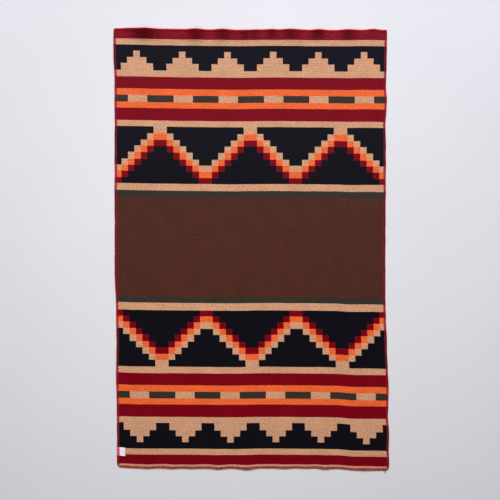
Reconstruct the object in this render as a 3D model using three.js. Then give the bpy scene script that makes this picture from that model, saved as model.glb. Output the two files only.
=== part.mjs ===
// A double-woven wool blanket laid out flat, face up: one cut cloth, an overlocked yarn edging sewn along
// each of its four sides, and a small folded label caught under the edging near one corner of the foot.
// Millimetres. X runs across the blanket, Y along it from the foot hem to the head hem, Z up.
// Each piece is made flat, in the cloth's own across, along and height, and laid() puts it where it lies.
import * as THREE from 'three';

const { lerp, smoothstep, clamp } = THREE.MathUtils;

// Driving sizes
const clothWidth = 1300;
const clothLength = 2100;
const clothThickness = 3;
const hemThickness = 2.2;     // the cloth where the overlock presses it
const gap = 0.3;              // clearance between pieces that touch
const edgingLip = 10;         // how far the overlock reaches in over the cloth
const edgingWall = 1;         // the yarn that lies above and below the cloth
const edgingNose = 1.6;       // how far it stands out past the cut edge
const labelLength = 39;       // along the side hem
const labelWidth = 28;        // the part that shows past the edging
const labelTail = 8;          // the part caught under the edging
const labelLayer = 0.5;       // the satin tape, folded into two layers
const labelSlot = 0.4;        // between the two layers
const labelCurl = 3.4;        // how far its folded end stands up off the cloth
const labelTwist = 1.6;       // and its foot corner more than its head corner
const labelSkew = 2;          // how far that end leans towards the foot
const labelFromFoot = 77;     // from the foot hem to the middle of the label

// Sizes that follow from them
const halfWidth = clothWidth / 2;
const halfLength = clothLength / 2;
const edgingHeight = 2 * (edgingWall + gap) + hemThickness;
const hemRise = edgingWall + gap;          // the cloth's underside over the yarn below it
const labelBase = hemRise + hemThickness + gap;
const labelHeight = 2 * labelLayer + labelSlot;
const labelPacking = labelHeight + gap;    // how far the edging rises over the label's tail
const labelAlong = labelFromFoot - halfLength;
const packedHalf = labelLength / 2 + 1;    // the stretch that the edging rises over, to each side
const packedRamp = 5;                      // and the stretch in which it comes down again

// How the cloth flattens out from its pressed hem
const hemFade = 50;           // the underside meets the surface this far in
const fullThicknessAt = 32;   // and the cloth is at its full thickness this far in
const liftStart = -12;        // a lift would be at its full height this far past the cut edge

// How the corners are drawn in from square: by how far, and how near to the corner that keeps. The head's
// right corner is almost sharp, and the two at the foot are round.
const cornerSize = 20;
const corners = [
  { side: -1, hem: 1, pull: 2, power: 4 },
  { side: 1, hem: 1, pull: 0.8, power: 4 },
  { side: -1, hem: -1, pull: 5, power: 2 },
  { side: 1, hem: -1, pull: 4, power: 2.4 },
];

// The four sides as they lie: how far each strays from its straight line, at places along it.
const headLine = [
  { at: -650, stray: 10.4 },
  { at: -560, stray: 9.6 },
  { at: -420, stray: 6.2 },
  { at: -300, stray: 4 },
  { at: -60, stray: 1.8 },
  { at: 130, stray: 3.2 },
  { at: 300, stray: 1.6 },
  { at: 440, stray: 1 },
  { at: 560, stray: 2.4 },
  { at: 650, stray: 1.4 },
];
const footLine = [
  { at: -650, stray: 6.2 },
  { at: -540, stray: 3 },
  { at: -400, stray: 2.6 },
  { at: -98, stray: 0.8 },
  { at: 55, stray: 2.8 },
  { at: 300, stray: 1.6 },
  { at: 400, stray: 0 },
  { at: 490, stray: -7.2 },
  { at: 560, stray: -7.4 },
  { at: 650, stray: -8.6 },
];
const leftLine = [
  { at: -1050, stray: 14.3 },
  { at: -770, stray: 13.3 },
  { at: -627, stray: 9.7 },
  { at: -510, stray: 11.2 },
  { at: -290, stray: 9.7 },
  { at: -100, stray: 2.7 },
  { at: 790, stray: 2.5 },
  { at: 940, stray: -3.4 },
  { at: 1050, stray: -3.2 },
];
const rightLine = [
  { at: -1050, stray: 15.2 },
  { at: -940, stray: 13.6 },
  { at: -857, stray: 14.8 },
  { at: -785, stray: 9 },
  { at: -728, stray: 12.4 },
  { at: -675, stray: 12.6 },
  { at: -460, stray: 4.8 },
  { at: -310, stray: -0.4 },
  { at: -190, stray: -3 },
  { at: 0, stray: -2.8 },
  { at: 120, stray: -2 },
  { at: 260, stray: -1 },
  { at: 500, stray: -0.4 },
  { at: 600, stray: -2.2 },
  { at: 713, stray: 4.8 },
  { at: 785, stray: 0 },
  { at: 830, stray: 1.6 },
  { at: 1050, stray: 5.8 },
];

// Where the head and foot hems stand up off the surface. Each lift is a soft wave that runs out to the hem:
// its place across, its height, its half width, how far in it ends, and how far it pushes the hem out. A wave
// that runs on further in, a little to one side, has a long low row beside its own.
const headLifts = [
  { at: -500, height: 33, spread: 67, reach: 62, push: -2.4 },
  { at: -360, height: 6, spread: 48, reach: 62, push: 0 },
  { at: -254, height: 18, spread: 46, reach: 60, push: -1 },
  { at: -256, height: 12, spread: 34, reach: 100, push: 0 },
  { at: -122, height: 19, spread: 42, reach: 60, push: -1 },
  { at: -136, height: 9, spread: 26, reach: 100, push: 0 },
  { at: -22, height: 18.5, spread: 28, reach: 62, push: -2.8 },
  { at: 25, height: 15, spread: 21, reach: 60, push: -2 },
  { at: 103, height: 20, spread: 27, reach: 60, push: 0 },
  { at: 189, height: 20.5, spread: 33, reach: 60, push: 0.4 },
  { at: 222, height: 9, spread: 26, reach: 100, push: 0 },
  { at: 321, height: 25.5, spread: 28, reach: 62, push: -1 },
  { at: 467, height: 20.5, spread: 31, reach: 60, push: -0.6 },
  { at: 502, height: 6, spread: 20, reach: 100, push: 0 },
  { at: 588, height: 5, spread: 26, reach: 60, push: 3.4 },
];
const footLifts = [
  { at: -508, height: 0.8, spread: 30, reach: 66, push: 2.2 },
  { at: -385, height: 1, spread: 24, reach: 66, push: 2.8 },
  { at: -292, height: 0.8, spread: 24, reach: 64, push: 3 },
  { at: -172, height: 1.2, spread: 30, reach: 68, push: 3.8 },
  { at: -28, height: 1.6, spread: 38, reach: 72, push: 5.2 },
  { at: 140, height: 0.8, spread: 34, reach: 66, push: 1.4 },
  { at: 342, height: 1.6, spread: 24, reach: 72, push: 3.2 },
  { at: 520, height: 0.8, spread: 40, reach: 66, push: 0.4 },
];

// Where facets are cut: across the cloth, and in from its hems and sides
const columnSpacing = 25;
const middleRowSpacing = 120;
const cornerSteps = [0, 0.25, 0.5, 0.75, 1].map((share) => share * cornerSize);
const sideSteps = [...cornerSteps, 32, 50];
const headSteps = [...cornerSteps, 27, 35, 43, 52, 64, 90, 160];
const packedEnds = [packedHalf, packedHalf + packedRamp];
const labelSteps = packedEnds.flatMap((end) => [labelFromFoot - end, labelFromFoot + end]);
const footSteps = [...cornerSteps, 30, 41, ...labelSteps, 66, 82, 150].sort((a, b) => a - b);
const mitreGap = 0.3;

// The stray of a side at a place along it, easing from one row of its table to the next.
function strayAt(line, place) {
  const next = line.findIndex((row) => row.at >= place);
  if (next === 0) return line[0].stray;
  if (next < 0) return line[line.length - 1].stray;
  const [before, after] = [line[next - 1], line[next]];
  return lerp(before.stray, after.stray, smoothstep(place, before.at, after.at));
}

// The sum of the waves of one hem, as a height and an outward push.
function hemWave(lifts, across, inward) {
  const wave = { height: 0, push: 0 };
  for (const lift of lifts) {
    const side = Math.exp(-(((across - lift.at) / lift.spread) ** 2));
    const share = side * (1 - smoothstep(inward, liftStart, lift.reach));
    wave.height += lift.height * share;
    wave.push += lift.push * share;
  }
  return wave;
}

// Puts a point of the flat cloth where it lies.
function laid(across, along, height) {
  const head = hemWave(headLifts, across, halfLength - along);
  const foot = hemWave(footLifts, across, halfLength + along);
  const sideShare = clamp(across / clothWidth + 0.5, 0, 1);
  const hemShare = clamp(along / clothLength + 0.5, 0, 1);
  const place = new THREE.Vector3(
    across + lerp(strayAt(leftLine, along), strayAt(rightLine, along), sideShare),
    along + lerp(strayAt(footLine, across), strayAt(headLine, across), hemShare) + head.push - foot.push,
    height + head.height + foot.height,
  );
  const nearSide = 1 - (halfWidth - Math.abs(across)) / cornerSize;
  const nearHem = 1 - (halfLength - Math.abs(along)) / cornerSize;
  if (nearSide > 0 && nearHem > 0) {
    const [side, hem] = [Math.sign(across), Math.sign(along)];
    const corner = corners.find((row) => row.side === side && row.hem === hem);
    place.x -= side * corner.pull * nearSide * nearHem ** corner.power;
    place.y -= hem * corner.pull * nearHem * nearSide ** corner.power;
  }
  return place;
}

// The cloth's underside and thickness, by the distance in from its nearest edge.
function underside(inward) {
  return hemRise * (1 - smoothstep(inward, edgingLip, hemFade));
}

function thickness(inward) {
  return lerp(hemThickness, clothThickness, smoothstep(inward, edgingLip, fullThicknessAt));
}

// Moves every vertex of a geometry to where place(x, y, z) says.
function reshape(geometry, place) {
  const position = geometry.getAttribute('position');
  for (let i = 0; i < position.count; i += 1) {
    const moved = place(position.getX(i), position.getY(i), position.getZ(i));
    position.setXYZ(i, moved.x, moved.y, moved.z);
  }
  geometry.computeVertexNormals();
  return geometry;
}

// Even places between two ends, both ends included.
function evenly(from, to, spacing) {
  const count = Math.ceil((to - from) / spacing);
  return Array.from({ length: count + 1 }, (_, i) => lerp(from, to, i / count));
}

const columns = [
  ...sideSteps.slice(0, -1).map((step) => step - halfWidth),
  ...evenly(sideSteps.at(-1) - halfWidth, halfWidth - sideSteps.at(-1), columnSpacing),
  ...sideSteps.slice(0, -1).map((step) => halfWidth - step).reverse(),
];
const rows = [
  ...footSteps.slice(0, -1).map((step) => step - halfLength),
  ...evenly(footSteps.at(-1) - halfLength, halfLength - headSteps.at(-1), middleRowSpacing),
  ...headSteps.slice(0, -1).map((step) => halfLength - step).reverse(),
];

// The box lies a quarter turn round, so that on the lifted hems its facets split the way the edging's do.
function clothGeometry() {
  const flat = new THREE.BoxGeometry(1, 1, 1, rows.length - 1, columns.length - 1, 1);
  return reshape(flat, (x, y, z) => {
    const across = columns[Math.round((0.5 - y) * (columns.length - 1))];
    const along = rows[Math.round((x + 0.5) * (rows.length - 1))];
    const inward = Math.min(halfWidth - Math.abs(across), halfLength - Math.abs(along));
    return laid(across, along, underside(inward) + (z > 0 ? thickness(inward) : 0));
  });
}

// The overlock in section: x is the distance in from the cut edge and y the height. It wraps round the edge.
// Where the hem is lifted it bends with the cloth, at the places given.
function edgingSection(bends) {
  const section = new THREE.Shape();
  section.moveTo(edgingLip, 0);
  section.lineTo(edgingLip, edgingWall);
  for (const place of bends) section.lineTo(place, edgingWall);
  section.lineTo(-gap, edgingWall);
  section.lineTo(-gap, edgingHeight - edgingWall);
  for (const place of bends) section.lineTo(place, edgingHeight - edgingWall);
  section.lineTo(edgingLip, edgingHeight - edgingWall);
  section.lineTo(edgingLip, edgingHeight);
  for (const place of bends) section.lineTo(place, edgingHeight);
  section.lineTo(0, edgingHeight);
  section.absellipse(0, edgingHeight / 2, edgingNose, edgingHeight / 2, Math.PI / 2, Math.PI * 1.5);
  for (const place of bends) section.lineTo(place, 0);
  section.lineTo(edgingLip, 0);
  return section;
}

// Each side runs with the cloth on its left hand: half its length, its facet places, whether it goes up or
// down its axis, and where a point is in the cloth that is s along it and d in from the cut edge.
const sides = [
  { name: 'edging_foot', half: halfWidth, places: columns, way: 1, toCloth: (s, d) => [s, d - halfLength] },
  { name: 'edging_right', half: halfLength, places: rows, way: 1, toCloth: (s, d) => [halfWidth - d, s] },
  { name: 'edging_head', half: halfWidth, places: columns, way: -1, toCloth: (s, d) => [-s, halfLength - d] },
  { name: 'edging_left', half: halfLength, places: rows, way: -1, toCloth: (s, d) => [d - halfWidth, -s] },
];

// How far the left edging's upper yarn rises to pass over the label's tail.
function packingAt(along) {
  const away = Math.abs(along - labelAlong);
  return labelPacking * (1 - clamp((away - packedHalf) / packedRamp, 0, 1));
}

function edgingGeometry(side) {
  const ordered = side.places.map((place) => side.way * place).sort((a, b) => a - b);
  const steps = ordered.length - 1;
  const straightHalf = side.half - cornerSize;
  const bends = side.name === 'edging_head' ? [edgingLip / 2] : [];
  const straight = new THREE.ExtrudeGeometry(edgingSection(bends), {
    depth: steps,
    steps,
    curveSegments: 4,
    bevelEnabled: false,
  });
  return reshape(straight, (inward, height, z) => {
    // towards a corner the facets fan round to the mitre
    const place = ordered[Math.round(z)];
    const intoCorner = Math.max(0, Math.abs(place) - straightHalf) / cornerSize;
    const mitred = lerp(straightHalf, side.half - inward - mitreGap, intoCorner);
    const along = intoCorner > 0 ? Math.sign(place) * mitred : place;
    const point = side.toCloth(along, inward);
    const packed = side.name === 'edging_left' && height > edgingHeight / 2;
    return laid(...point, height + (packed ? packingAt(point[1]) : 0));
  });
}

// The label in section: a tape folded back on itself, both ends under the edging and the fold standing free.
function labelSection() {
  const tailEnd = edgingLip - labelTail;
  const foldRadius = labelHeight / 2;
  const foldStart = edgingLip + labelWidth - foldRadius;
  const bends = 6;
  const places = Array.from({ length: bends + 1 }, (_, i) => lerp(edgingLip, foldStart, i / bends));
  const section = new THREE.Shape();
  section.moveTo(tailEnd, 0);
  for (const place of places) section.lineTo(place, 0);
  section.absarc(foldStart, foldRadius, foldRadius, -Math.PI / 2, Math.PI / 2);
  for (const place of [...places].reverse()) section.lineTo(place, labelHeight);
  section.lineTo(tailEnd, labelHeight);
  section.lineTo(tailEnd, labelHeight - labelLayer);
  for (const place of places) section.lineTo(place, labelHeight - labelLayer);
  for (const place of [...places].reverse()) section.lineTo(place, labelLayer);
  section.lineTo(tailEnd, labelLayer);
  return section;
}

function labelGeometry() {
  const steps = 4;
  const straight = new THREE.ExtrudeGeometry(labelSection(), {
    depth: labelLength,
    steps,
    curveSegments: 4,
    bevelEnabled: false,
  });
  return reshape(straight, (inward, height, z) => {
    const out = Math.max(0, (inward - edgingLip) / labelWidth);
    const curl = (labelCurl + labelTwist * (z / labelLength - 0.5)) * out ** 2;
    const along = labelAlong + labelLength / 2 - z - labelSkew * out;
    return laid(inward - halfWidth, along, labelBase + height + curl);
  });
}

const wool = new THREE.MeshStandardMaterial({ color: 0x5a1f24, roughness: 0.95, metalness: 0 });
const edgingYarn = new THREE.MeshStandardMaterial({ color: 0x8c1a2a, roughness: 0.85, metalness: 0 });
const satinTape = new THREE.MeshStandardMaterial({ color: 0xecebef, roughness: 0.5, metalness: 0 });

function piece(name, geometry, material) {
  const mesh = new THREE.Mesh(geometry, material);
  mesh.name = name;
  return mesh;
}

const blanket = new THREE.Group();
blanket.add(piece('cloth', clothGeometry(), wool));
for (const side of sides) blanket.add(piece(side.name, edgingGeometry(side), edgingYarn));
blanket.add(piece('label', labelGeometry(), satinTape));

// The origin is on the surface, under the middle of the blanket's outline.
const middle = new THREE.Box3().setFromObject(blanket).getCenter(new THREE.Vector3());
blanket.position.set(-middle.x, -middle.y, 0);

export default blanket;
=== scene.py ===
# A double-woven wool blanket laid out flat on a pale floor: the cloth with its banded pattern, the yarn
# overlocked over its cut edge stitch by stitch, and the small blank label caught under those stitches.
import math

import bpy
import numpy as np
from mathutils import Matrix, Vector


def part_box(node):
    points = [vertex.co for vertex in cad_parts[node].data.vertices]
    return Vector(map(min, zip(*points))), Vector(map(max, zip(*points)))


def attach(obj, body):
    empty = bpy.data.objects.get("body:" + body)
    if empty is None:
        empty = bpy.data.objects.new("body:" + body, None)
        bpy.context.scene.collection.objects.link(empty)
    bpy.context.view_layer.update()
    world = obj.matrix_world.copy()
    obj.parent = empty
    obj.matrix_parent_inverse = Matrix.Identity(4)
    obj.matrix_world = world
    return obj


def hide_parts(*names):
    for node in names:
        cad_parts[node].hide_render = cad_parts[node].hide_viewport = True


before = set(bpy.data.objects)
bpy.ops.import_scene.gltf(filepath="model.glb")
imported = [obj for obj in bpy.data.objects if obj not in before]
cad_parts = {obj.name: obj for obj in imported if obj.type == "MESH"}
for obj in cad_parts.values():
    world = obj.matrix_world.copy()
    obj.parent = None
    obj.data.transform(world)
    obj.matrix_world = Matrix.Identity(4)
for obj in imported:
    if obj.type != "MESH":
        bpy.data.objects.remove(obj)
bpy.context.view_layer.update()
print("frame loaded")

mm = 0.001

# How the blanket lies, in millimetres of the flat cloth. a runs across it, b along it and d in from an edge.
lie = {
    "width": 1300,
    "length": 2100,
    "thickness": 3,
    "hemThickness": 2.2,          # where the overlock presses it
    "hemRise": 1.3,               # the hem's underside, over the yarn below it
    "hemFade": 50,                # and how far in it has come down to the floor
    "fullThicknessAt": 32,
    "footPressed": 0.4,           # how much flatter the foot hem is than the others, from wear
    "footPressedTo": 60,          # and how far in it is as thick as the rest
    "headLine": {
        "at": [-650, -560, -420, -300, -60, 130, 300, 440, 560, 650],
        "stray": [10.4, 9.6, 6.2, 4, 1.8, 3.2, 1.6, 1, 2.4, 1.4],
    },
    "footLine": {
        "at": [-650, -540, -400, -98, 55, 300, 400, 490, 560, 650],
        "stray": [6.2, 3, 2.6, 0.8, 2.8, 1.6, 0, -7.2, -7.4, -8.6],
    },
    "leftLine": {
        "at": [-1050, -770, -627, -510, -290, -100, 790, 940, 1050],
        "stray": [14.3, 13.3, 9.7, 11.2, 9.7, 2.7, 2.5, -3.4, -3.2],
    },
    "rightLine": {
        "at": [
            -1050, -940, -857, -785, -728, -675, -460, -310, -190,
            0, 120, 260, 500, 600, 713, 785, 830, 1050,
        ],
        "stray": [15.2, 13.6, 14.8, 9, 12.4, 12.6, 4.8, -0.4, -3, -2.8, -2, -1, -0.4, -2.2, 4.8, 0, 1.6, 5.8],
    },
    "liftStart": -12,             # the lifts would be full this far past the cut edge
    "cornerSize": 20,
    # each corner: its side, its hem, how far it is drawn in from square and how near the corner that keeps
    "corners": [(-1, 1, 2, 4), (1, 1, 0.8, 4), (-1, -1, 5, 2), (1, -1, 4, 2.4)],
}

# The waves in which the two end hems stand up: place across, height, half width, how far in they end and the
# outward push. A wave that runs on further in, a little to one side, has a long low row beside its own.
headLifts = [
    (-500, 33, 67, 62, -2.4),
    (-360, 6, 48, 62, 0),
    (-254, 18, 46, 60, -1),
    (-256, 12, 34, 100, 0),
    (-122, 19, 42, 60, -1),
    (-136, 9, 26, 100, 0),
    (-22, 18.5, 28, 62, -2.8),
    (25, 15, 21, 60, -2),
    (103, 20, 27, 60, 0),
    (189, 20.5, 33, 60, 0.4),
    (222, 9, 26, 100, 0),
    (321, 25.5, 28, 62, -1),
    (467, 20.5, 31, 60, -0.6),
    (502, 6, 20, 100, 0),
    (588, 5, 26, 60, 3.4),
]
footLifts = [
    (-508, 0.8, 30, 66, 2.2),
    (-385, 1, 24, 66, 2.8),
    (-292, 0.8, 24, 64, 3),
    (-172, 1.2, 30, 68, 3.8),
    (-28, 1.6, 38, 72, 5.2),
    (140, 0.8, 34, 66, 1.4),
    (342, 1.6, 24, 72, 3.2),
    (520, 0.8, 40, 66, 0.4),
]

# The stitching draws the edge in and lets it out a little, every few centimetres, and ripples it. Each of the
# two fades out between two distances from the edge.
edgeWaves = {
    "drawn": 0.55,
    "drawnFade": (5, 60),
    "drawnAcross": 75,            # the usual length of these waves, by which way they move the edge
    "drawnAlong": 70,
    "ripple": 0.5,
    "rippleFade": (15, 90),
    "rippleSize": 110,
}

seeds = {"drawnAcross": 3, "drawnAlong": 4, "ripple": 5, "relief": 11, "edging": 20}

halfWidth = lie["width"] / 2
halfLength = lie["length"] / 2
edgingLip = 10                    # how far in from the cut edge the overlock reaches


def ease(value, low, high):
    t = np.clip((value - low) / (high - low), 0, 1)
    return t * t * (3 - 2 * t)


def strayAt(line, place):
    at, stray = np.array(line["at"], float), np.array(line["stray"], float)
    after = np.clip(np.searchsorted(at, place), 1, len(at) - 1)
    share = ease(place, at[after - 1], at[after])
    return stray[after - 1] + (stray[after] - stray[after - 1]) * share


def hemWave(lifts, a, inward):
    height = np.zeros_like(a)
    push = np.zeros_like(a)
    for at, rise, spread, reach, out in lifts:
        share = np.exp(-(((a - at) / spread) ** 2)) * (1 - ease(inward, lie["liftStart"], reach))
        height += rise * share
        push += out * share
    return height, push


# Slow uneven waves, from a few sines that run different ways.
def swell(a, b, wavelength, seed, count=7):
    draw = np.random.default_rng(seed)
    total = np.zeros_like(a)
    for _ in range(count):
        turn = draw.uniform(0, math.tau)
        size = wavelength * draw.uniform(0.7, 1.5)
        start = draw.uniform(0, math.tau)
        total += np.sin((a * math.cos(turn) + b * math.sin(turn)) * math.tau / size + start)
    return total / math.sqrt(count)


# Puts points of the flat cloth where they lie, as millimetres on the floor before the blanket is centred.
def laid(a, b, height):
    a, b, height = (np.asarray(v, float) for v in np.broadcast_arrays(a, b, height))
    pressed = 1 - ease(halfLength + b, edgingLip, lie["footPressedTo"])
    height = height * (1 - lie["footPressed"] * pressed)
    headRise, headPush = hemWave(headLifts, a, halfLength - b)
    footRise, footPush = hemWave(footLifts, a, halfLength + b)
    sideShare = np.clip(a / lie["width"] + 0.5, 0, 1)
    hemShare = np.clip(b / lie["length"] + 0.5, 0, 1)
    left, right = strayAt(lie["leftLine"], b), strayAt(lie["rightLine"], b)
    foot, head = strayAt(lie["footLine"], a), strayAt(lie["headLine"], a)
    nearSide = np.maximum(0, 1 - (halfWidth - np.abs(a)) / lie["cornerSize"])
    nearHem = np.maximum(0, 1 - (halfLength - np.abs(b)) / lie["cornerSize"])
    pullX, pullY = np.zeros_like(a), np.zeros_like(a)
    for side, hem, pull, power in lie["corners"]:
        here = (np.sign(a) == side) & (np.sign(b) == hem)
        pullX += here * side * pull * nearSide * nearHem**power
        pullY += here * hem * pull * nearHem * nearSide**power
    edge = np.minimum(halfWidth - np.abs(a), halfLength - np.abs(b))
    drawn = (1 - ease(edge, *edgeWaves["drawnFade"])) * edgeWaves["drawn"]
    drawnAcross = drawn * swell(a, b, edgeWaves["drawnAcross"], seeds["drawnAcross"])
    drawnAlong = drawn * swell(a, b, edgeWaves["drawnAlong"], seeds["drawnAlong"])
    x = a + left + (right - left) * sideShare - pullX + drawnAcross
    y = b + foot + (head - foot) * hemShare + headPush - footPush - pullY + drawnAlong
    ripple = (1 - ease(edge, *edgeWaves["rippleFade"])) * edgeWaves["ripple"]
    ripple = ripple * np.maximum(0, swell(a, b, edgeWaves["rippleSize"], seeds["ripple"]))
    return np.stack([x, y, height + headRise + footRise + ripple], -1)


def underside(inward):
    return lie["hemRise"] * (1 - ease(inward, edgingLip, lie["hemFade"]))


def clothThickness(inward):
    full = ease(inward, edgingLip, lie["fullThicknessAt"])
    return lie["hemThickness"] + (lie["thickness"] - lie["hemThickness"]) * full


# The blanket's outline is centred on the frame's origin, so the laid cloth moves to where the frame has it.
lowCloth, highCloth = (np.array(corner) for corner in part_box("cloth"))
rimA = np.linspace(-halfWidth, halfWidth, 600)
rimB = np.linspace(-halfLength, halfLength, 900)
rim = np.concatenate([
    laid(rimA, halfLength, 0),
    laid(rimA, -halfLength, 0),
    laid(halfWidth, rimB, 0),
    laid(-halfWidth, rimB, 0),
])
middle = (rim.min(0) + rim.max(0)) / 2
frameMiddle = (lowCloth + highCloth) / 2 / mm
shift = np.array([frameMiddle[0] - middle[0], frameMiddle[1] - middle[1], 0])


def place(a, b, height):
    return (laid(a, b, height) + shift) * mm


def linear(hexColour, alpha=1.0):
    parts = [int(hexColour[i:i + 2], 16) / 255 for i in (1, 3, 5)]
    return tuple(p / 12.92 if p <= 0.04045 else ((p + 0.055) / 1.055) ** 2.4 for p in parts) + (alpha,)


# Adds a shader node. Another node's output is linked to the input of that name or number, and a plain value
# is set there, or else on the node itself.
def addNode(tree, kind, settings=None):
    node = tree.nodes.new("ShaderNode" + kind)
    for key, value in (settings or {}).items():
        if isinstance(value, bpy.types.NodeSocket):
            tree.links.new(value, node.inputs[key])
        elif isinstance(key, int) or (key in node.inputs and not hasattr(node, key)):
            node.inputs[key].default_value = value
        else:
            setattr(node, key, value)
    return node


# What a Math node, or one of another kind, makes of its inputs.
def worked(tree, operation, *inputs, kind="Math"):
    return addNode(tree, kind, {"operation": operation, **dict(enumerate(inputs))}).outputs[0]


# Soft noise, by its scale and detail.
def noiseAt(tree, where, scale, detail, output="Fac"):
    return addNode(tree, "TexNoise", {"Scale": scale, "Detail": detail, "Vector": where}).outputs[output]


# A range turned into another, and held at its two ends.
def mapped(tree, value, low, high, toLow, toHigh):
    return addNode(tree, "MapRange", {0: value, 1: low, 2: high, 3: toLow, 4: toHigh}).outputs[0]


# One colour over another, to the share that is given.
def mixed(tree, share, under, over, blend="MIX"):
    settings = {"data_type": "RGBA", "blend_type": blend, 0: share, 6: under, 7: over}
    return addNode(tree, "Mix", settings).outputs[2]


# A colour made darker or lighter, by a grey that multiplies it.
def shaded(tree, colour, shade):
    grey = addNode(tree, "CombineColor", {0: shade, 1: shade, 2: shade}).outputs[0]
    return mixed(tree, 1.0, colour, grey, "MULTIPLY")


# The surface's direction over a relief that is so many millimetres deep.
def bumped(tree, relief, strength, depth):
    return addNode(tree, "Bump", {"Strength": strength, "Distance": depth * mm, "Height": relief}).outputs[0]


def newMaterial(name):
    made = bpy.data.materials.new(name)
    made.use_nodes = True
    tree = made.node_tree
    tree.nodes.clear()
    return made, tree


def finishMaterial(tree, look, colour, normal):
    shader = addNode(tree, "BsdfPrincipled", {**look, "Base Color": colour, "Normal": normal})
    addNode(tree, "OutputMaterial", {"Surface": shader.outputs["BSDF"]})


# A mesh object from points in metres. pointData holds the attributes that its material reads.
def newPiece(name, points, faces, materials, faceMaterial=None, pointData=None, smoothUnder=60):
    mesh = bpy.data.meshes.new(name)
    mesh.from_pydata(points.tolist(), [], faces)
    for kind, values in (pointData or {}).items():
        wide = values.ndim == 2
        made = mesh.attributes.new(kind, "FLOAT_VECTOR" if wide else "FLOAT", "POINT")
        made.data.foreach_set("vector" if wide else "value", values.astype(np.float32).ravel())
    for material in materials:
        mesh.materials.append(material)
    if faceMaterial is not None:
        mesh.polygons.foreach_set("material_index", faceMaterial)
    mesh.polygons.foreach_set("use_smooth", [True] * len(mesh.polygons))
    mesh.set_sharp_from_angle(angle=math.radians(smoothUnder))
    mesh.update()
    piece = bpy.data.objects.new(name, mesh)
    bpy.context.scene.collection.objects.link(piece)
    return piece


# The pattern, charted from the hem to the middle: how many block rows, then the colour of each block
# from the middle of a zigzag's peak out to its valley. What lies past the valley or the middle mirrors it.
pattern = {
    "columns": 42,                # blocks across the blanket
    "rows": 69,                   # block rows along it
    "footSpare": 14,              # what is left at the foot, past the last whole row, where it was cut
    "chart": [
        (1, "ttttttt"),           # the row past the hem, which shows only in the foot's spare strip
        (1.5, "ccccccc"),
        (1, "ttttttt"),
        (1, "kkkkkkk"),
        (1, "kkktkkk"),
        (1, "kktttkk"),
        (1, "ktttttk"),
        (1, "ttttttt"),
        (2, "ccccccc"),
        (1, "ooooooo"),
        (1, "vvtttvv"),
        (1, "ooooooo"),
        (2, "ccccccc"),
        (1, "ttttttt"),
        (1, "tkkkkkk"),
        (1, "otkkkkk"),
        (1, "cotkkkk"),
        (1, "kcotkkk"),
        (1, "kkcotkk"),
        (1, "kkkcotk"),
        (1, "kkkkcot"),
        (1, "kkkkkco"),
        (1, "kkkkkkc"),
        (1, "ttttttt"),
        (1, "vvvvvvv"),
        (8, "bbbbbbb"),
    ],
    "front": {
        "k": "#0b0a11",           # black
        "c": "#6e0010",           # crimson
        "t": "#ba8b6b",           # tan
        "o": "#d75c2c",           # orange
        "v": "#2f2b26",           # dark olive
        "b": "#45251c",           # brown
    },
    # a double cloth shows its other layer on the reverse, so the colours change places
    "swapped": {"k": "t", "c": "o", "t": "k", "o": "c", "v": "b", "b": "v"},
    "wander": 2.4,                # how far a colour's border strays, from uneven beating and fulling
    "threadStep": 2.2,            # borders change at whole threads of this spacing
    "ribStep": 7.6,               # the faint ribs across the blanket
}


# The letter of the chart at a place of the cloth, in the order of the chart's own rows and columns.
def letterAt(a, b):
    reach = len(pattern["chart"][0][1])
    row = (lie["length"] - pattern["footSpare"]) / pattern["rows"]
    column = abs(a) / (lie["width"] / pattern["columns"]) % (2 * reach)
    column = min(int(min(column, 2 * reach - column)), reach - 1)
    fromHem = (lie["length"] - pattern["footSpare"]) / 2 / row + 1 - abs(b - pattern["footSpare"] / 2) / row
    for count, letters in pattern["chart"]:
        fromHem -= count
        if fromHem < 0:
            return letters[column]
    return letters[column]


# The wool's look. Each noise is given by its scale, in waves to a metre, and its detail. Each range is a low
# and a high value that go in, and the low and high share that come out.
wool = {
    "wanderNoise": (16.0, 2.0),
    "cloudNoise": (11.0, 3.0),
    "streakNoise": (1.0, 2.0),
    "streakStretch": (14.0, 130.0, 14.0),  # its waves to a metre across, along and up, as weft yarns are thin
    "speckleNoise": (120.0, 4.0),
    "ribNoise": (9.0, 1.0),
    "lintNoise": (240.0, 3.0),
    # how light the dye is where all four of these are at nought, and what each of them adds
    "darkest": 0.175,
    "cloud": 0.34,
    "streak": 0.2,
    "speckle": 1.1,
    "rib": 0.04,
    # the grey of the pale lint, which is also painted on as sheen towards the head
    "lint": "#83849a",
    "strayLint": (0.45, 0.75, 0.0, 0.006),
    "headwardSheen": (-0.2, 0.7, 0.0, 0.014),  # from metres along the blanket
    # a paler rose painted on the nap of the crimson head hem, as its sheen
    "napSheen": "#b8414f",
    "napSheenFrom": (47, 42),          # millimetres in from the head hem, where the raised nap begins and is full
    "napSheenShare": 0.08,
    "tufts": (0.35, 0.65, 0.1, 1.9),
    "weaveRelief": 0.35,
    "ribRelief": 0.5,
    "layerRelief": 0.8,           # the paler layer of the cloth stands up over the darker one
    "bump": (0.55, 0.9),          # its strength, and its depth in millimetres
    "look": {"Roughness": 0.7, "Specular IOR Level": 0.03, "Sheen Weight": 0.0},
}
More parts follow.
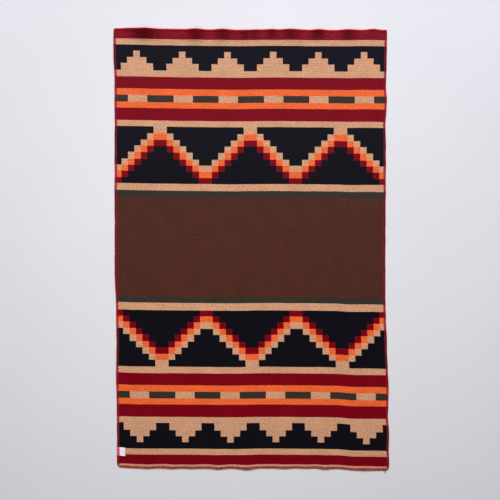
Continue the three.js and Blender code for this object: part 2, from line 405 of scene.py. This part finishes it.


# Fulled wool: the felted nap drinks the light and gives no shine, so the eye gets deep flat colours. They are
# mottled where the yarns took the dye unevenly and faintly ribbed where the weft packs. The two woven layers
# bind at each border of the pattern. What sheen it has, towards the head and on the head hem's nap, is
# painted into its colour.
def wovenWool(name, colours):
    made, tree = newMaterial(name)
    flat = addNode(tree, "Attribute", {"attribute_name": "flatPlace"}).outputs["Vector"]
    loose = noiseAt(tree, flat, *wool["wanderNoise"], output="Color")
    centred = worked(tree, "SUBTRACT", loose, (0.5, 0.5, 0.5), kind="VectorMath")
    wander = pattern["wander"] * mm
    strayed = worked(tree, "MULTIPLY_ADD", centred, (wander,) * 3, flat, kind="VectorMath")
    step = pattern["threadStep"] * mm
    threads = worked(tree, "SNAP", strayed, (step,) * 3, kind="VectorMath")
    parted = addNode(tree, "SeparateXYZ", {0: threads})

    block = lie["width"] / pattern["columns"] * mm
    reach = len(pattern["chart"][0][1])
    fromPeak = worked(tree, "PINGPONG", worked(tree, "DIVIDE", parted.outputs["X"], block), float(reach))

    patternLength = lie["length"] - pattern["footSpare"]
    row = patternLength / pattern["rows"] * mm
    along = worked(tree, "SUBTRACT", parted.outputs["Y"], pattern["footSpare"] / 2 * mm)
    fromMiddle = worked(tree, "ABSOLUTE", along)
    # counted from one row past the hem, as the chart is, and as a share of all its rows
    charted = sum(count for count, _ in pattern["chart"])
    start = (patternLength / 2 * mm + row) / (row * charted)
    fromHem = worked(tree, "MULTIPLY_ADD", fromMiddle, -1 / (row * charted), start)

    shown = None
    for column in range(reach):
        ramp = addNode(tree, "ValToRGB", {"Fac": fromHem})
        ramp.color_ramp.interpolation = "CONSTANT"
        stops = ramp.color_ramp.elements
        stops.remove(stops[1])
        past, before = 0, None
        for count, letters in pattern["chart"]:
            if letters[column] != before:
                stop = stops[0] if before is None else stops.new(past / charted)
                stop.position = past / charted
                stop.color = linear(colours[letters[column]])
                before = letters[column]
            past += count
        if shown is None:
            shown = ramp.outputs["Color"]
            continue
        beyond = worked(tree, "GREATER_THAN", fromPeak, float(column))
        shown = mixed(tree, beyond, shown, ramp.outputs["Color"])

    # cloudy dye, streaks of single weft yarns, the speckle of fibres and ribs where the weft was beaten close
    cloud = noiseAt(tree, flat, *wool["cloudNoise"])
    stretched = worked(tree, "MULTIPLY", flat, wool["streakStretch"], kind="VectorMath")
    streak = noiseAt(tree, stretched, *wool["streakNoise"])
    speckle = noiseAt(tree, flat, *wool["speckleNoise"])
    own = addNode(tree, "SeparateXYZ", {0: flat})
    ribAngle = worked(tree, "MULTIPLY", own.outputs["Y"], math.tau / (pattern["ribStep"] * mm))
    ribPatch = noiseAt(tree, flat, *wool["ribNoise"])
    rib = worked(tree, "MULTIPLY", worked(tree, "SINE", ribAngle), ribPatch)
    shade = wool["darkest"]
    for kind, strength in (("cloud", cloud), ("streak", streak), ("speckle", speckle), ("rib", rib)):
        shade = worked(tree, "MULTIPLY_ADD", strength, wool[kind], shade)
    dyed = shaded(tree, shown, shade)

    # pale loose fibres lie over every colour and show most on the dark ones; the same grey is also painted on
    # as sheen, more and more towards the head, where the lamp is, and the nap, which stands up most in the
    # crimson hem there, gets a paler rose painted on as its sheen
    lint = noiseAt(tree, flat, *wool["lintNoise"])
    stray = mapped(tree, lint, *wool["strayLint"])
    # painted sheen of the same grey, growing towards the head
    sheenTowardsHead = mapped(tree, own.outputs["Y"], *wool["headwardSheen"])
    lintedAndSheened = mixed(tree, worked(tree, "ADD", stray, sheenTowardsHead), dyed, linear(wool["lint"]))
    # the painted sheen on the head hem's nap, in its tufts
    napSheenFrom, napSheenFull = ((halfLength - inward) * mm for inward in wool["napSheenFrom"])
    hemSheen = mapped(tree, own.outputs["Y"], napSheenFrom, napSheenFull, 0.0, wool["napSheenShare"])
    tuftSheen = worked(tree, "MULTIPLY", hemSheen, mapped(tree, speckle, *wool["tufts"]))
    colour = mixed(tree, tuftSheen, lintedAndSheened, linear(wool["napSheen"]))

    # plain weave in relief: one bump where each warp and weft thread cross, half hidden by the fulling
    turns = [worked(tree, "MULTIPLY", own.outputs[axis], math.pi / step) for axis in "XY"]
    weave = worked(tree, "MULTIPLY", *[worked(tree, "SINE", turn) for turn in turns])
    relief = worked(tree, "MULTIPLY_ADD", weave, wool["weaveRelief"], streak)
    relief = worked(tree, "ADD", relief, speckle)
    relief = worked(tree, "MULTIPLY_ADD", rib, wool["ribRelief"], relief)
    layer = addNode(tree, "RGBToBW", {0: shown}).outputs[0]
    relief = worked(tree, "MULTIPLY_ADD", layer, wool["layerRelief"], relief)
    finishMaterial(tree, wool["look"], colour, bumped(tree, relief, *wool["bump"]))
    return made


# Places across or along the cloth where its mesh has lines: close at the rims and even between.
def meshLines(half, spacing, steps=(0, 2, 4, 6, 8, 10, 13, 17, 22, 28, 36)):
    count = math.ceil(2 * (half - steps[-1]) / spacing)
    inner = np.linspace(steps[-1] - half, half - steps[-1], count + 1)
    rimSteps = np.array(steps[:-1], float)
    return np.concatenate([rimSteps - half, inner, (half - rimSteps)[::-1]])


cloth = {
    "spacing": 9.5,               # mesh lines in the field
    "relief": 0.22,               # the field's slow rise and fall, which a floor never quite lets go
    "reliefSize": 170,
    "reliefFade": (10, 60),       # from the edge, which lies as the stitches hold it
}


def makeCloth():
    acrossLines = meshLines(halfWidth, cloth["spacing"])
    alongLines = meshLines(halfLength, cloth["spacing"])
    b, a = np.meshgrid(alongLines, acrossLines, indexing="ij")
    inward = np.minimum(halfWidth - np.abs(a), halfLength - np.abs(b))
    low = underside(inward)
    unevenness = cloth["relief"] * swell(a, b, cloth["reliefSize"], seeds["relief"])
    unevenness = unevenness * ease(inward, *cloth["reliefFade"])
    top = place(a, b, low + clothThickness(inward) + unevenness).reshape(-1, 3)
    bottom = place(a, b, low).reshape(-1, 3)
    rows, columns = a.shape
    index = np.arange(rows * columns).reshape(rows, columns)
    corners = [index[:-1, :-1], index[:-1, 1:], index[1:, 1:], index[1:, :-1]]
    up = np.stack([c.ravel() for c in corners], -1)
    down = up[:, ::-1] + rows * columns
    rimLoop = np.concatenate([index[0, :-1], index[:-1, -1], index[-1, :0:-1], index[:0:-1, 0]])
    nextLoop = np.roll(rimLoop, -1)
    under = rows * columns
    wall = np.stack([rimLoop + under, nextLoop + under, nextLoop, rimLoop], -1)
    faces = np.concatenate([up, down, wall])
    slots = np.concatenate([np.zeros(len(up), int), np.ones(len(down), int), np.zeros(len(wall), int)])
    flat = np.stack([a, b, np.zeros_like(a)], -1).reshape(-1, 3) * mm
    reverse = {letter: pattern["front"][other] for letter, other in pattern["swapped"].items()}
    materials = [wovenWool("wovenWoolFace", pattern["front"]), wovenWool("wovenWoolReverse", reverse)]
    data = {"flatPlace": np.concatenate([flat, flat])}
    return newPiece("blanketCloth", np.concatenate([top, bottom]), faces.tolist(), materials, slots, data)


# Each side of the edging: half its length, and where a point is in the cloth that is s along it and d in.
sides = {
    "edging_foot": (halfWidth, lambda s, d: (s, d - halfLength)),
    "edging_right": (halfLength, lambda s, d: (halfWidth - d, s)),
    "edging_head": (halfWidth, lambda s, d: (-s, halfLength - d)),
    "edging_left": (halfLength, lambda s, d: (d - halfWidth, -s)),
}

label = {
    "fromFoot": 77,               # from the foot hem to the middle of the label
    "length": 39,
    "width": 28,                  # the part that shows past the stitches
    "tail": 8,                    # the part caught under them
    "tape": 0.42,                 # satin tape, folded double
    "slot": 0.5,
    "curl": 3.4,                  # how far the fold stands up off the cloth
    "twist": 1.6,                 # and its foot corner more than its head corner
    "skew": 2,                    # how far the fold leans towards the foot
    "base": 3.85,                 # how high it lies, just over the cloth
    # the tape bellies a little along the fold: by how much, over how much of a half wave, and from where
    "sag": 0.35,
    "sagWave": 1.6,
    "sagStart": 0.4,
    # mesh points out along the tape, round its fold and across it
    "outPoints": 26,
    "bendPoints": 9,
    "acrossPoints": 25,
    "lift": 1.3,                  # how far the stitches over it rise
    "liftFade": (-1, 5),          # and where that fades out, past its ends
    "selvedge": 2,                # how wide each selvedge is
    # the tape's noise, in waves to a millimetre along it, across it and up, and then its scale and detail
    "floatStretch": (0.5, 4.0, 1.0),
    "floatNoise": (1.0, 3.0),
    # satin floats are a fifth of a millimetre apart, and are drawn three times as coarse
    "floatStep": 0.6,
    "floatRelief": 0.4,
    # the tape's tint, and the paler one painted on as the sheen of its floats
    "tapeAndSheenTints": ("#dbd7e0", "#e6e3ea"),
    "selvedgeTint": "#f4f3f7",
    "bump": (0.35, 0.15),
    "look": {"Roughness": 0.45, "Specular IOR Level": 0.45, "Sheen Weight": 0.1},
}

overlock = {
    "pitch": 5.2,                 # from one stitch to the next
    "yarnWidth": 4.6,
    "yarnHeight": 1.25,
    "lean": 1.7,                  # the stitches slant, because the yarn moves on as it crosses the edge
    "ring": 8,                    # points round the yarn
    # the yarn's middle from below the cloth, round its cut edge and back over it: in from the edge, and up
    "route": [
        (10.6, 1.5), (9.6, 0.9), (7.5, 0.7), (4.5, 0.68), (1.6, 0.7),
        (-0.2, 0.95), (-0.95, 1.7), (-1.05, 2.4), (-0.95, 3.1), (-0.2, 3.85),
        (1.6, 4.12), (4.5, 4.2), (7.5, 4.12), (9.6, 3.75), (10.6, 3.1),
    ],
    "aboveCut": 3,                # the part of the route above this height lies over the cloth or label
    "innerEnds": 6,               # and the part further in than this is near a stitch's end
    # how much the stitches differ: in place, in how far in they end, in height and in width
    "uneven": {"place": 0.25, "end": 0.45, "height": 0.06, "width": 0.07},
    # how much of its width a stitch has at its ends and next to them, and of its height at its ends
    "endWide": 0.55,
    "nextWide": 0.85,
    "endTall": 0.7,
    # within this far of a corner the stitches fan out and narrow: how far short of the corner they stop, more
    # so the further in they are, between these two depths, and how wide they still are
    "corner": 30,
    "cornerShort": 0.8,
    "cornerFan": 0.95,
    "cornerDepths": (-1, 10),
    "cornerWide": 0.75,
    "squeezedWide": 0.9,
    "overLabel": 2,               # how much further in they reach over the label, for each mm they rise
    "threadWidth": 0.8,           # the needle thread that locks the stitches, inside their ends
    "threadRing": 6,
    "threadIn": 8.4,
    "threadStray": 0.25,          # to each side, as it goes over a stitch and between two
    "threadHeights": (4.85, 4.05),
    "threadStop": 12,             # how far from a corner it ends
    "threadNoise": (3.0, 2.0),
    "threadColours": ("#6e0f20", "#a52638"),
    "threadBump": (0.4, 0.2),
    "threadLook": {"Roughness": 0.55},
    # painted light: the crimson yarn as it is painted over each colour of cloth, paler where pale cloth would
    # send light back up through it
    "over": {"k": "#5a121c", "c": "#790916", "t": "#9c242a", "o": "#a32a26", "v": "#64151d", "b": "#6a131d"},
    "yarnLitByTape": "#cf4f5a",        # and over the label
    "readAt": 8.0,                # how far in the colour under a stitch is read
    # the share of that colour which each side keeps, as painted shade: the foot, turned away from the lamp,
    # is darker
    "sideShadeShare": {"edging_head": 1, "edging_left": 1, "edging_right": 0.95, "edging_foot": 0.72},
    # paler rose patches painted at random on the stitches, as highlights
    "paintedHighlight": "#b04048",
    "highlightRange": (0.5, 0.8, 0.0, 0.25),  # from the patches' noise to the share of that paler colour
    "patchNoise": (0.35, 1.0),
    "fibreNoise": (2.2, 4.0),
    "plyPitch": 5.5,              # millimetres along the yarn in which a ply goes round it
    "darkest": 0.62,              # the yarn's shade at the least, and what its plies and fibres add
    "plyShade": 0.12,
    "fibreShade": 0.75,
    "plyRelief": 0.5,
    "bump": (0.7, 0.5),
    "look": {"Roughness": 0.9, "Specular IOR Level": 0.06, "Sheen Weight": 0.03, "Sheen Roughness": 0.5},
    # a painted highlight of brighter red where the yarn turns over the edge, most of all at the head, which
    # faces the lamp, and more at the foot than at the sides, to lighten its shaded outer side
    "rim": "#dc1a34",
    "rimHighlightIn": -0.6,                # the middle of that light, in from the cut edge, and how wide it spreads
    "rimHighlightSpread": 3,
    "rimHighlightShare": {"edging_head": 0.85, "edging_left": 0.15, "edging_right": 0.15, "edging_foot": 0.35},
    # the loose end at the foot's right corner, as places along the foot, in from it and up
    "yarnEnd": [(622, 5, 7), (628, 1.5, 9), (632.5, -1.5, 9.5), (635.5, -5, 8.5), (636.5, -8.5, 6.5)],
    "endRadius": (3, 2.4),        # where it leaves the stitches and at its tip
    "endColour": "#b5121f",
}


# Wool yarn of two plies: dull, with painted shade in the grooves between the plies, painted highlights that
# pale its colour at random in places, and a painted highlight where it turns over the cut edge.
def overlockYarn():
    made, tree = newMaterial("overlockWoolYarn")
    own = addNode(tree, "Attribute", {"attribute_name": "yarnPlace"}).outputs["Vector"]
    # x is millimetres along the yarn, y is turns round it and z differs from stitch to stitch
    parted = addNode(tree, "SeparateXYZ", {0: own})
    turn = worked(tree, "MULTIPLY", parted.outputs["X"], math.tau / overlock["plyPitch"])
    angle = worked(tree, "MULTIPLY_ADD", parted.outputs["Y"], 2 * math.tau, turn)
    ply = worked(tree, "SINE", angle)
    fibres = noiseAt(tree, own, *overlock["fibreNoise"])
    # each stitch's given colour, with its painted light and shade
    paintedStitchColour = addNode(tree, "Attribute", {"attribute_name": "yarnColour"}).outputs["Vector"]
    # painted highlights, in paler rose patches
    paintedHighlight = mapped(tree, noiseAt(tree, own, *overlock["patchNoise"]), *overlock["highlightRange"])
    highlighted = mixed(tree, paintedHighlight, paintedStitchColour, linear(overlock["paintedHighlight"]))
    # the painted highlight where the yarn turns over the cut edge
    rimHighlightShare = addNode(tree, "Attribute", {"attribute_name": "rimHighlightShare"}).outputs["Fac"]
    colour = mixed(tree, rimHighlightShare, highlighted, linear(overlock["rim"]))
    # the plies' turns darken the grooves between them: painted shade
    shade = worked(tree, "MULTIPLY_ADD", ply, overlock["plyShade"], overlock["darkest"])
    shade = worked(tree, "MULTIPLY_ADD", fibres, overlock["fibreShade"], shade)
    relief = worked(tree, "MULTIPLY_ADD", ply, overlock["plyRelief"], fibres)
    normal = bumped(tree, relief, *overlock["bump"])
    finishMaterial(tree, overlock["look"], shaded(tree, colour, shade), normal)
    return made


# Spun polyester thread, smoother and a little shinier than the wool.
def needleThread():
    made, tree = newMaterial("needleThreadPolyester")
    own = addNode(tree, "Attribute", {"attribute_name": "yarnPlace"}).outputs["Vector"]
    strands = noiseAt(tree, own, *overlock["threadNoise"])
    dark, pale = (linear(colour) for colour in overlock["threadColours"])
    normal = bumped(tree, strands, *overlock["threadBump"])
    finishMaterial(tree, overlock["threadLook"], mixed(tree, strands, dark, pale), normal)
    return made


# Tubes along many routes at once. routes[i, j] is (s, d, height) of point j of tube i, wide[i, j] and
# tall[i, j] are its half width along s and half height, and toCloth turns (s, d) into places in the cloth.
# Where toCloth swaps the two, it mirrors the tube, so its faces are turned round to point out again. No two
# tubes read the same part of the yarn's noise, so noiseStep parts them.
def tubes(routes, wide, tall, toCloth, ring, mirrored=False, aboveFloor=0.02, noiseStep=7.3):
    count, points, _ = routes.shape
    ahead = np.gradient(routes[:, :, 1:], axis=1)
    ahead /= np.maximum(np.linalg.norm(ahead, axis=-1, keepdims=True), 1e-9)
    sideways = np.stack([-ahead[..., 1], ahead[..., 0]], -1)
    angles = np.arange(ring) / ring * math.tau
    s = routes[:, :, None, 0] + wide[:, :, None] * np.cos(angles)
    d = routes[:, :, None, 1] + tall[:, :, None] * np.sin(angles) * sideways[:, :, None, 0]
    height = routes[:, :, None, 2] + tall[:, :, None] * np.sin(angles) * sideways[:, :, None, 1]
    a, b = toCloth(s, d)
    placed = place(a, b, np.maximum(height, aboveFloor)).reshape(-1, 3)
    index = np.arange(count * points * ring).reshape(count, points, ring)
    after = np.roll(index, -1, axis=2)
    walls = np.stack([index[:, :-1], index[:, 1:], after[:, 1:], after[:, :-1]], -1).reshape(-1, 4)
    starts, ends = index[:, 0], index[:, -1, ::-1]
    if mirrored:
        walls, starts, ends = walls[:, ::-1], starts[:, ::-1], ends[:, ::-1]
    steps = np.linalg.norm(np.diff(routes, axis=1), axis=-1)
    run = np.concatenate([np.zeros((count, 1)), np.cumsum(steps, 1)], 1)
    turns = np.broadcast_to(angles / math.tau, (count, points, ring))
    own = np.broadcast_to(np.arange(count)[:, None, None] * noiseStep, (count, points, ring))
    along = np.broadcast_to(run[:, :, None], (count, points, ring))
    yarnPlace = np.stack([along, turns, own], -1).reshape(-1, 3)
    return placed, walls.tolist(), starts.tolist() + ends.tolist(), yarnPlace


# How far the stitches rise over the label.
def packingAt(b):
    past = np.abs(b - (label["fromFoot"] - halfLength)) - label["length"] / 2
    return label["lift"] * (1 - ease(past, *label["liftFade"]))


def makeEdging(name, seed, yarn, thread):
    half, toCloth = sides[name]
    draw = np.random.default_rng(seed)
    uneven, corner = overlock["uneven"], overlock["corner"]
    route = np.array(overlock["route"])
    count = round(2 * half / overlock["pitch"])
    middles = (np.arange(count) + 0.5) / count * 2 * half - half
    middles = middles + draw.normal(0, uneven["place"], count)
    # towards a corner the stitches fan out, their inner ends closer together than their outer ones
    d = np.broadcast_to(route[:, 0], (count, len(route)))
    reach = half - overlock["cornerShort"] - np.clip(d, *overlock["cornerDepths"]) * overlock["cornerFan"]
    squeeze = (reach - (half - corner)) / corner
    away = np.abs(middles)[:, None]
    past = np.maximum(0, away - (half - corner))
    s = np.sign(middles)[:, None] * (np.minimum(away, half - corner) + past * squeeze)
    progress = np.linspace(-0.5, 0.5, len(route))
    s = s + overlock["lean"] * progress * (1 - past / corner)
    inner = d > overlock["innerEnds"]
    depth = d + np.where(inner, draw.normal(0, uneven["end"], (count, 1)), 0)
    height = route[:, 1] + draw.normal(0, uneven["height"], (count, 1))
    if name == "edging_left":
        _, b = toCloth(s, d)
        over = route[:, 1] > overlock["aboveCut"]
        height = height + np.where(over, packingAt(b), 0)
        depth = depth + np.where(over & inner, packingAt(b) * overlock["overLabel"], 0)
    wide = overlock["yarnWidth"] / 2 * (1 + draw.normal(0, uneven["width"], (count, 1))) * np.ones(len(route))
    squeezed = overlock["squeezedWide"] + (1 - overlock["squeezedWide"]) * np.clip(squeeze, 0, 1)
    wide = wide * squeezed * np.where(past > 0, overlock["cornerWide"], 1)
    wide[:, [0, -1]] *= overlock["endWide"]
    wide[:, [1, -2]] *= overlock["nextWide"]
    tall = np.full(wide.shape, overlock["yarnHeight"] / 2)
    tall[:, [0, -1]] *= overlock["endTall"]
    stitches = tubes(np.stack([s, depth, height], -1), wide, tall, toCloth, overlock["ring"])

    # the needle thread dips between one stitch and the next
    held = middles[np.abs(middles) < half - overlock["threadStop"]]
    threadS = np.sort(np.concatenate([held, (held[:-1] + held[1:]) / 2]))
    onStitch = np.arange(len(threadS)) % 2 == 0
    threadHeight = np.where(onStitch, *overlock["threadHeights"])
    threadD = overlock["threadIn"] + np.where(onStitch, 1, -1) * overlock["threadStray"]
    if name == "edging_left":
        threadHeight = threadHeight + packingAt(toCloth(threadS, threadD)[1])
    threadRoute = np.stack([threadD, threadS, threadHeight], -1)[None]
    thin = np.full(threadRoute.shape[:2], overlock["threadWidth"] / 2)
    threadRing = overlock["threadRing"]
    locking = tubes(threadRoute, thin, thin, lambda d, s: toCloth(s, d), threadRing, mirrored=True)
    made = [(stitches, 0), (locking, 1)]

    # each stitch is painted the colour that the yarn shows over the cloth under it, for the light that cloth
    # sends back through it
    a, b = toCloth(s[:, -3], np.full(count, overlock["readAt"]))
    colour = np.array([linear(overlock["over"][letterAt(*spot)])[:3] for spot in zip(a, b)])
    # painted shade by side, darkest at the foot
    colour = colour * overlock["sideShadeShare"][name]
    # over the label the yarn is painted paler still, for the light the white tape sends back through it
    if name == "edging_left":
        onTape = (packingAt(b) / label["lift"])[:, None]
        colour = colour + (np.array(linear(overlock["yarnLitByTape"])[:3]) - colour) * onTape
    colours = [np.repeat(colour, len(stitches[0]) // count, axis=0), np.zeros((len(locking[0]), 3))]
    # the painted highlight where the yarn turns over the cut edge, more or less by side
    fromRim = (route[:, 0] - overlock["rimHighlightIn"]) / overlock["rimHighlightSpread"]
    rim = np.exp(-(fromRim**2)) * overlock["rimHighlightShare"][name]
    rimHighlights = [np.tile(np.repeat(rim, overlock["ring"]), count), np.zeros(len(locking[0]))]
    if name == "edging_foot":
        yarnEnd = np.array(overlock["yarnEnd"])[None]
        taper = np.linspace(*overlock["endRadius"], yarnEnd.shape[1])[None]
        made.append((tubes(yarnEnd, taper, taper, toCloth, overlock["ring"]), 0))
        endPoints = len(made[-1][0][0])
        colours.append(np.tile(linear(overlock["endColour"])[:3], (endPoints, 1)))
        rimHighlights.append(np.zeros(endPoints))

    points, faces, slots, yarnPlace = [], [], [], []
    for (tubePoints, walls, caps, along), slot in made:
        start = sum(len(part) for part in points)
        moved = [[i + start for i in face] for face in walls + caps]
        points.append(tubePoints)
        faces += moved
        slots += [slot] * len(moved)
        yarnPlace.append(along)
    side = name.replace("edging_", "").capitalize()
    data = {
        "yarnPlace": np.concatenate(yarnPlace),
        "yarnColour": np.concatenate(colours),
        "rimHighlightShare": np.concatenate(rimHighlights),
    }
    return newPiece("overlockedEdge" + side, np.concatenate(points), faces, [yarn, thread], slots, data)


# Woven satin tape: smooth and softly shiny across its length, with a plain narrow selvedge at each side.
def satinTape():
    made, tree = newMaterial("wovenSatinTape")
    flat = addNode(tree, "Attribute", {"attribute_name": "tapePlace"}).outputs["Vector"]
    across = addNode(tree, "SeparateXYZ", {0: flat}).outputs["Y"]
    floats = worked(tree, "MULTIPLY", flat, label["floatStretch"], kind="VectorMath")
    # a paler tint painted in streaks along the floats, as their sheen
    sheen = noiseAt(tree, floats, *label["floatNoise"])
    ribs = worked(tree, "SINE", worked(tree, "MULTIPLY", across, math.tau / label["floatStep"]))
    edge = label["length"] / 2 - label["selvedge"]
    selvedge = worked(tree, "GREATER_THAN", worked(tree, "ABSOLUTE", across), edge)
    dull, pale = (linear(tint) for tint in label["tapeAndSheenTints"])
    colour = mixed(tree, selvedge, mixed(tree, sheen, dull, pale), linear(label["selvedgeTint"]))
    relief = worked(tree, "MULTIPLY_ADD", ribs, label["floatRelief"], selvedge)
    finishMaterial(tree, label["look"], colour, bumped(tree, relief, *label["bump"]))
    return made


def makeLabel():
    tape, width, length = label["tape"], label["width"], label["length"]
    radius = (tape + label["slot"]) / 2
    foldAt = edgingLip + width - radius - tape / 2
    out = np.linspace(edgingLip - label["tail"], foldAt, label["outPoints"])
    bend = np.linspace(-math.pi / 2, math.pi / 2, label["bendPoints"])[1:-1]
    d = np.concatenate([out, foldAt + radius * np.cos(bend), out[::-1]])
    h = np.concatenate([np.zeros_like(out), radius + radius * np.sin(bend), np.full_like(out, 2 * radius)])
    ahead = np.gradient(np.stack([d, h], -1), axis=0)
    ahead /= np.linalg.norm(ahead, axis=-1, keepdims=True)
    outward = np.stack([ahead[:, 1], -ahead[:, 0]], -1) * tape / 2
    z = np.linspace(0, length, label["acrossPoints"])
    run = np.concatenate([[0], np.cumsum(np.hypot(np.diff(d), np.diff(h)))])
    layers, flats = [], []
    for way in (1, -1):
        dd, zz = np.meshgrid(d + way * outward[:, 0], z, indexing="ij")
        hh = np.broadcast_to((h + way * outward[:, 1])[:, None], dd.shape)
        share = np.maximum(0, (dd - edgingLip) / width)
        curl = (label["curl"] + label["twist"] * (zz / length - 0.5)) * share**2
        sag = label["sag"] * share * np.sin(zz / length * math.pi * label["sagWave"] + label["sagStart"])
        b = label["fromFoot"] - halfLength + length / 2 - zz - label["skew"] * share
        layers.append(place(dd - halfWidth, b, label["base"] + tape / 2 + hh + curl + sag))
        across = np.broadcast_to(run[:, None], dd.shape)
        flats.append(np.stack([across, zz - length / 2, np.zeros_like(dd)], -1))
    rows, columns = layers[0].shape[:2]
    index = np.arange(rows * columns).reshape(rows, columns)
    quads = np.stack([index[:-1, :-1], index[1:, :-1], index[1:, 1:], index[:-1, 1:]], -1).reshape(-1, 4)
    loop = np.concatenate([index[0, :-1], index[:-1, -1], index[-1, :0:-1], index[:0:-1, 0]])
    nextLoop = np.roll(loop, -1)
    under = rows * columns
    wall = np.stack([loop + under, loop, nextLoop, nextLoop + under], -1)
    faces = np.concatenate([quads, quads[:, ::-1] + under, wall])
    points = np.concatenate([layer.reshape(-1, 3) for layer in layers])
    data = {"tapePlace": np.concatenate([flat.reshape(-1, 3) for flat in flats])}
    return newPiece("sewnInLabel", points, faces.tolist(), [satinTape()], pointData=data, smoothUnder=80)


clothPiece = makeCloth()
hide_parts("cloth")
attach(clothPiece, "root")
print("cloth made:", len(clothPiece.data.polygons), "faces")

yarn, thread = overlockYarn(), needleThread()
for seed, name in enumerate(sides, seeds["edging"]):
    piece = makeEdging(name, seed, yarn, thread)
    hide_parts(name)
    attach(piece, "root")
    print(name, "made:", len(piece.data.polygons), "faces")

labelPiece = makeLabel()
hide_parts("label")
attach(labelPiece, "root")
print("label made")


floorLook = {
    "tones": ("#c8c8cc", "#d0cfd3"),
    "toneNoise": (1.3, 4.0),
    "fineNoise": (60.0, 3.0),
    "bump": (0.05, 1),
    "look": {"Roughness": 0.6},
    "reach": 40,                  # metres to each side
    "below": 0.0005,              # metres, so that it doesn't meet the underside of the cloth
}


# A floor painted with satin white: almost even, a touch uneven where the brush passed.
def paintedFloor():
    made, tree = newMaterial("paintedFloor")
    spot = addNode(tree, "TexCoord").outputs["Object"]
    dark, pale = (linear(tone) for tone in floorLook["tones"])
    colour = mixed(tree, noiseAt(tree, spot, *floorLook["toneNoise"]), dark, pale)
    normal = bumped(tree, noiseAt(tree, spot, *floorLook["fineNoise"]), *floorLook["bump"])
    finishMaterial(tree, floorLook["look"], colour, normal)
    return made


floorCorners = np.array([[-1, -1, 0], [1, -1, 0], [1, 1, 0], [-1, 1, 0]]) * floorLook["reach"]
floor = newPiece("floor", floorCorners - [0, 0, floorLook["below"]], [[0, 1, 2, 3]], [paintedFloor()])

view = {
    "height": 5.3,                # the camera is this far above the floor, in metres, and looks straight down
    "frameWidth": 2.397,          # what it takes in at the floor
    "aim": (-0.0062, -0.0036),    # the blanket lies a little right of the picture's middle
    "sensor": 36,
}
camera = bpy.data.objects.new("camera", bpy.data.cameras.new("camera"))
camera.data.sensor_width = view["sensor"]
camera.data.lens = view["sensor"] * view["height"] / view["frameWidth"]
camera.location = (*view["aim"], view["height"])
bpy.context.scene.collection.objects.link(camera)
bpy.context.scene.camera = camera

# A wide cool window beyond the head of the blanket, a third of the way up to overhead, a weaker and warmer
# panel above the blanket and the pale room round them.
light = {
    "key": {
        "size": (7, 5),
        "at": (1.2, 10.5, 6.8),
        "to": (0, 0, 0),
        "power": 3080,
        "colour": "#f4f6fd",
    },
    "fill": {
        "size": (1.6, 1.6),
        "at": (-0.3, -0.2, 2.2),
        "to": (-0.2, -0.2, 0),
        "power": 19,
        "colour": "#fff3de",
    },
    "room": {"colour": "#e9e9ee", "strength": 0.08},
}
for name in ("key", "fill"):
    facts = light[name]
    lamp = bpy.data.lights.new(name, "AREA")
    lamp.shape = "RECTANGLE"
    lamp.size, lamp.size_y = facts["size"]
    lamp.energy = facts["power"]
    lamp.color = linear(facts["colour"])[:3]
    holder = bpy.data.objects.new(name, lamp)
    holder.location = facts["at"]
    towards = np.array(facts["to"], float) - np.array(facts["at"], float)
    flatway = math.hypot(towards[0], towards[1])
    holder.rotation_euler = (math.atan2(flatway, -towards[2]), 0, math.atan2(-towards[0], towards[1]))
    bpy.context.scene.collection.objects.link(holder)

world = bpy.data.worlds.new("room")
world.use_nodes = True
background = world.node_tree.nodes["Background"]
background.inputs["Color"].default_value = linear(light["room"]["colour"])
background.inputs["Strength"].default_value = light["room"]["strength"]
bpy.context.scene.world = world
bpy.context.scene.view_settings.view_transform = "Standard"
print("floor, camera and light made")
